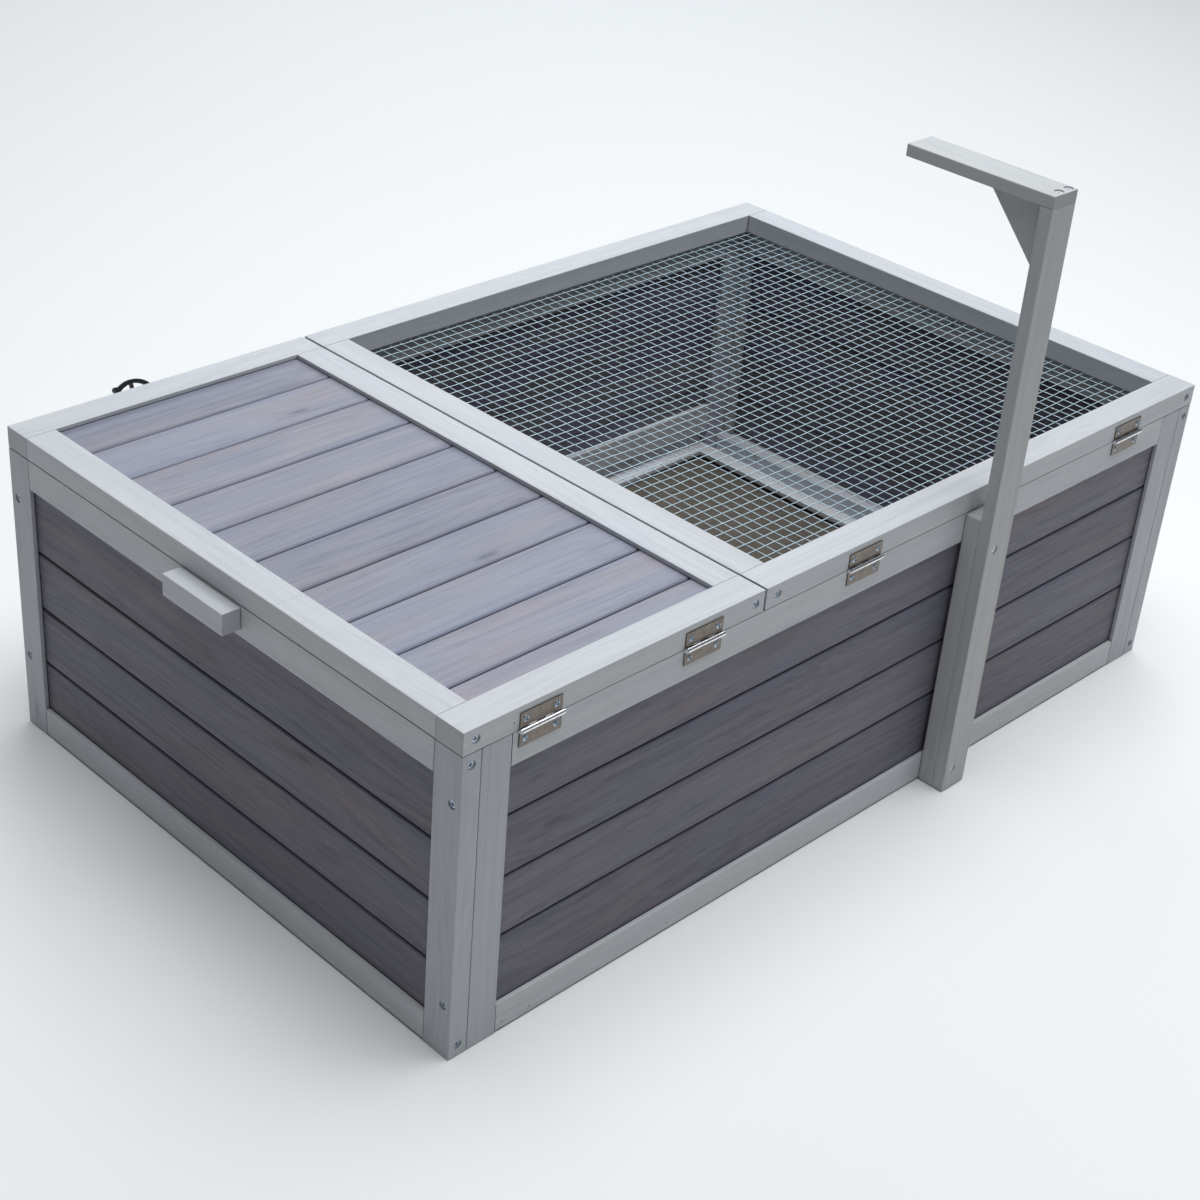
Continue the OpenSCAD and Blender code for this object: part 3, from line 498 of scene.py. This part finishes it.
def ease(name, width, shortest=4 * MM):
    """Rounds the long edges of a CAD node by modifiers; the rims of its holes stay sharp."""
    obj = nodes[name]
    bm = bmesh.new()
    bm.from_mesh(obj.data)
    same_place = {}
    for v in bm.verts:
        same_place.setdefault(tuple(round(c, 6) for c in v.co), []).append(v.index)
    bmesh.ops.remove_doubles(bm, verts=bm.verts, dist=0.001 * MM)
    chosen = []
    for v in bm.verts:
        sharp = [e for e in v.link_edges if len(e.link_faces) != 2 or e.calc_face_angle(0) > 0.5]
        if sharp and min(e.calc_length() for e in sharp) >= shortest:
            chosen.extend(same_place.get(tuple(round(c, 6) for c in v.co), []))
    bm.free()
    group = obj.vertex_groups.new(name="eased")
    group.add(chosen, 1.0, "REPLACE")
    weld = obj.modifiers.new("weld", "WELD")
    weld.merge_threshold = 0.002 * MM
    flat = obj.modifiers.new("flat", "DECIMATE")
    flat.decimate_type = "DISSOLVE"
    flat.angle_limit = math.radians(0.5)
    soft = obj.modifiers.new("soft", "BEVEL")
    soft.width = width
    soft.segments = 2
    soft.limit_method = "VGROUP"
    soft.vertex_group = "eased"


def frame_tones(name, axis):
    if name.startswith("lamp_"):
        return POST_PAINT
    # Painted light: the tray's battens and guides get a paler paint to brighten the inside.
    if name in ("tray_battens", "tray_guides"):
        return TRAY_PAINT_PAINTED_LIGHTER
    return STILE_PAINT if axis == "z" else PAINT


def dress_wood():
    seed = 1
    for axis, names in FRAME_NODES.items():
        for name in names:
            seed += 1
            dress(name, wood("paint_" + name, axis, seed, frame_tones(name, axis), contrast=0.55,
                             edge=0.3, relief=0.06 * MM, knots=0.35, blend=0.6))
            if name not in DRILLED:
                ease(name, EASED_WIDTH)
    for name, (axis, first) in WALL_PANELS.items():
        seed += 1
        dress(name, wood("stain_" + name, axis, seed, WALL_STAIN,
                         boards=("Z", first * MM, WALL_JOINTS), roughness=0.55))
    lid_first = CORNER.y + LID_FIRST_JOINT * MM
    dress("solid_lid_boards", wood("stain_lid", "x", 91, LID_STAIN,
                                   boards=("Y", lid_first, LID_JOINTS)))
    dress("tray_floor", wood("ply_tray", "x", 97, TRAY_PLY, roughness=0.7))


def dress_metal():
    nickel = hinge_nickel()
    zinc = metal("zinc", ZINC, 0.28, grime_and_painted_shade=0.97)
    zinc_painted_lighter = metal("zinc_painted_lighter", ZINC_PAINTED_LIGHTER, 0.5, grime_and_painted_shade=0.15)
    lacquer = metal("black_lacquer", BLACK_LACQUER, 0.35, metallic=0.0)
    for name in nodes:
        if name.endswith("_leaf") or name == "hinge_pins":
            dress(name, nickel)
        # The lamp's screws get the paler zinc: painted light on their recessed heads.
        elif name == "lamp_screws":
            dress(name, zinc_painted_lighter)
        elif name.endswith("screws") or name in ("mesh_lid_fixings", "clasp_pin"):
            dress(name, zinc)
        elif name.startswith("clasp_"):
            dress(name, lacquer)


# ---------- wire mesh ----------

# Cells of the mesh along X and Y, and how far the wires run on past the last crossing.
CELLS_X = 48
CELLS_Y = 45
WIRE_TAIL = 1.2 * MM
WIRE_R = 0.41 * MM
WIRE_SIDES = 8
# The wires along Y lie below the others, and before they sag they clear the CAD mesh's bottom by this.
LOW_CLEARANCE = 0.25 * MM
# The sag in the middle, two sizes of ripple, and the border in which the ripples fade out.
SAG = 3.6 * MM
WAVE = 1.5 * MM
SHORT_WAVE = 0.45 * MM
WANDER = 0.5 * MM
HELD_BORDER = 60 * MM


def tube(bm, points, radius, sides, side_axis):
    """A round wire through the points; side_axis is a fixed direction across it."""
    rings = []
    last = len(points) - 1
    for i, p in enumerate(points):
        along = (points[min(i + 1, last)] - points[max(i - 1, 0)]).normalized()
        across = (side_axis - along * side_axis.dot(along)).normalized()
        up = along.cross(across)
        ring = []
        for k in range(sides):
            a = 2 * math.pi * k / sides
            ring.append(bm.verts.new(p + (across * math.cos(a) + up * math.sin(a)) * radius))
        rings.append(ring)
    for a, b in zip(rings, rings[1:]):
        for k in range(sides):
            bm.faces.new((a[k], a[(k + 1) % sides], b[(k + 1) % sides], b[k]))
    bm.faces.new(list(reversed(rings[0])))
    bm.faces.new(rings[-1])


def make_wire_mesh():
    """Thin wires that sag and ripple a little between the rails, in place of the CAD wires."""
    low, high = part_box("wire_mesh")
    x0, x1 = low.x + WIRE_TAIL, high.x - WIRE_TAIL
    y0, y1 = low.y + WIRE_TAIL, high.y - WIRE_TAIL
    z_top = high.z - WIRE_R
    z_low = low.z + WIRE_R + LOW_CLEARANCE

    def ripple(x, y):
        edge_x = min(x - x0, x1 - x) / HELD_BORDER
        edge_y = min(y - y0, y1 - y) / HELD_BORDER
        hold = max(0.0, min(1.0, edge_x)) * max(0.0, min(1.0, edge_y))
        a = math.pi * (x - x0) / (x1 - x0)
        b = math.pi * (y - y0) / (y1 - y0)
        sag = SAG * math.sin(a) * math.sin(b)
        wave = noise.noise(Vector((x * 9, y * 9, 3.7))) * WAVE
        short = noise.noise(Vector((x * 40, y * 40, 9.1))) * SHORT_WAVE
        return -sag + (wave + short) * hold

    def wander(a, b):
        return noise.noise(Vector((a * 23, b * 60, 5.2))) * WANDER

    bm = bmesh.new()
    for j in range(CELLS_Y + 1):
        y = y0 + (y1 - y0) * j / CELLS_Y
        points = []
        for i in range(CELLS_X * 2 + 1):
            x = low.x + (high.x - low.x) * i / (CELLS_X * 2)
            points.append(Vector((x, y + wander(x, y), z_top + ripple(x, y))))
        tube(bm, points, WIRE_R, WIRE_SIDES, Vector((0, 1, 0)))
    for i in range(CELLS_X + 1):
        x = x0 + (x1 - x0) * i / CELLS_X
        points = []
        for j in range(CELLS_Y * 2 + 1):
            y = low.y + (high.y - low.y) * j / (CELLS_Y * 2)
            points.append(Vector((x + wander(y, x), y, z_low + ripple(x, y))))
        tube(bm, points, WIRE_R, WIRE_SIDES, Vector((1, 0, 0)))
    for face in bm.faces:
        face.smooth = True
    wire = metal("galvanised", GALVANISED, 0.36, scale=900.0, metallic=0.45)
    obj = add_mesh("welded_mesh", bm, wire)
    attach(obj, "mesh_lid")
    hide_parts("wire_mesh")


# ---------- brads ----------

BRAD_R = 0.8 * MM
BRAD_RISE = 0.12 * MM
BRAD_SIDES = 10


def make_brads(name, body, spots):
    """Heads of the brads that show as small rusty dots on the hinge side, at (x, z) in mm."""
    bm = bmesh.new()
    for x, z in spots:
        centre = at(x, 0, z)
        ring = []
        for k in range(BRAD_SIDES):
            a = 2 * math.pi * k / BRAD_SIDES
            ring.append(bm.verts.new(centre + Vector((math.cos(a), 0, math.sin(a))) * BRAD_R))
        tip = bm.verts.new(centre + Vector((0, -BRAD_RISE, 0)))
        for k in range(BRAD_SIDES):
            bm.faces.new((ring[k], ring[(k + 1) % BRAD_SIDES], tip))
    obj = add_mesh(name, bm, metal(name + "_steel", RUSTY_STEEL, 0.5, scale=1500.0, metallic=0.4))
    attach(obj, body)


# ---------- finger joint ----------

# Where the joint crosses the rail, from the back in mm, and the two ends of its zigzag.
FINGER_Y = 213.0
FINGER_BACK = -0.6 * MM
FINGER_FRONT = 2.2 * MM
FINGER_STEPS = 14
FINGER_INSET = 0.8 * MM
FINGER_HALF_LINE = 0.16 * MM
FINGER_LIFT = 0.01 * MM


def make_finger_joint():
    """The faint zigzag line of a finger joint across the top of the left lid rail."""
    low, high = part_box("solid_lid_left_rail")
    top = high.z + FINGER_LIFT
    half = FINGER_HALF_LINE
    bm = bmesh.new()
    pairs = []
    for i in range(FINGER_STEPS + 1):
        x = low.x + FINGER_INSET + (high.x - low.x - 2 * FINGER_INSET) * i / FINGER_STEPS
        y = at(0, FINGER_Y, 0).y + (FINGER_FRONT if i % 2 else FINGER_BACK)
        pairs.append([bm.verts.new((x, y - half, top)), bm.verts.new((x, y + half, top))])
    for (a, b), (c, d) in zip(pairs, pairs[1:]):
        bm.faces.new((a, c, d, b))
    obj = add_mesh("finger_joint", bm, wood("glue_line", "y", 401, GLUE_LINE, knots=0.0))
    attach(obj, "solid_lid")


# ---------- assembly ----------

make_camera()
make_floor()
make_world()
make_lights()
dress_wood()
dress_metal()
make_wire_mesh()
make_brads("wall_brads", "hutch", [(54.6, 8.1), (83.8, 7.1), (239.0, 8.2), (706.0, 7.6)])
make_brads("lid_brads", "solid_lid", [(48.3, 291.0)])
make_finger_joint()
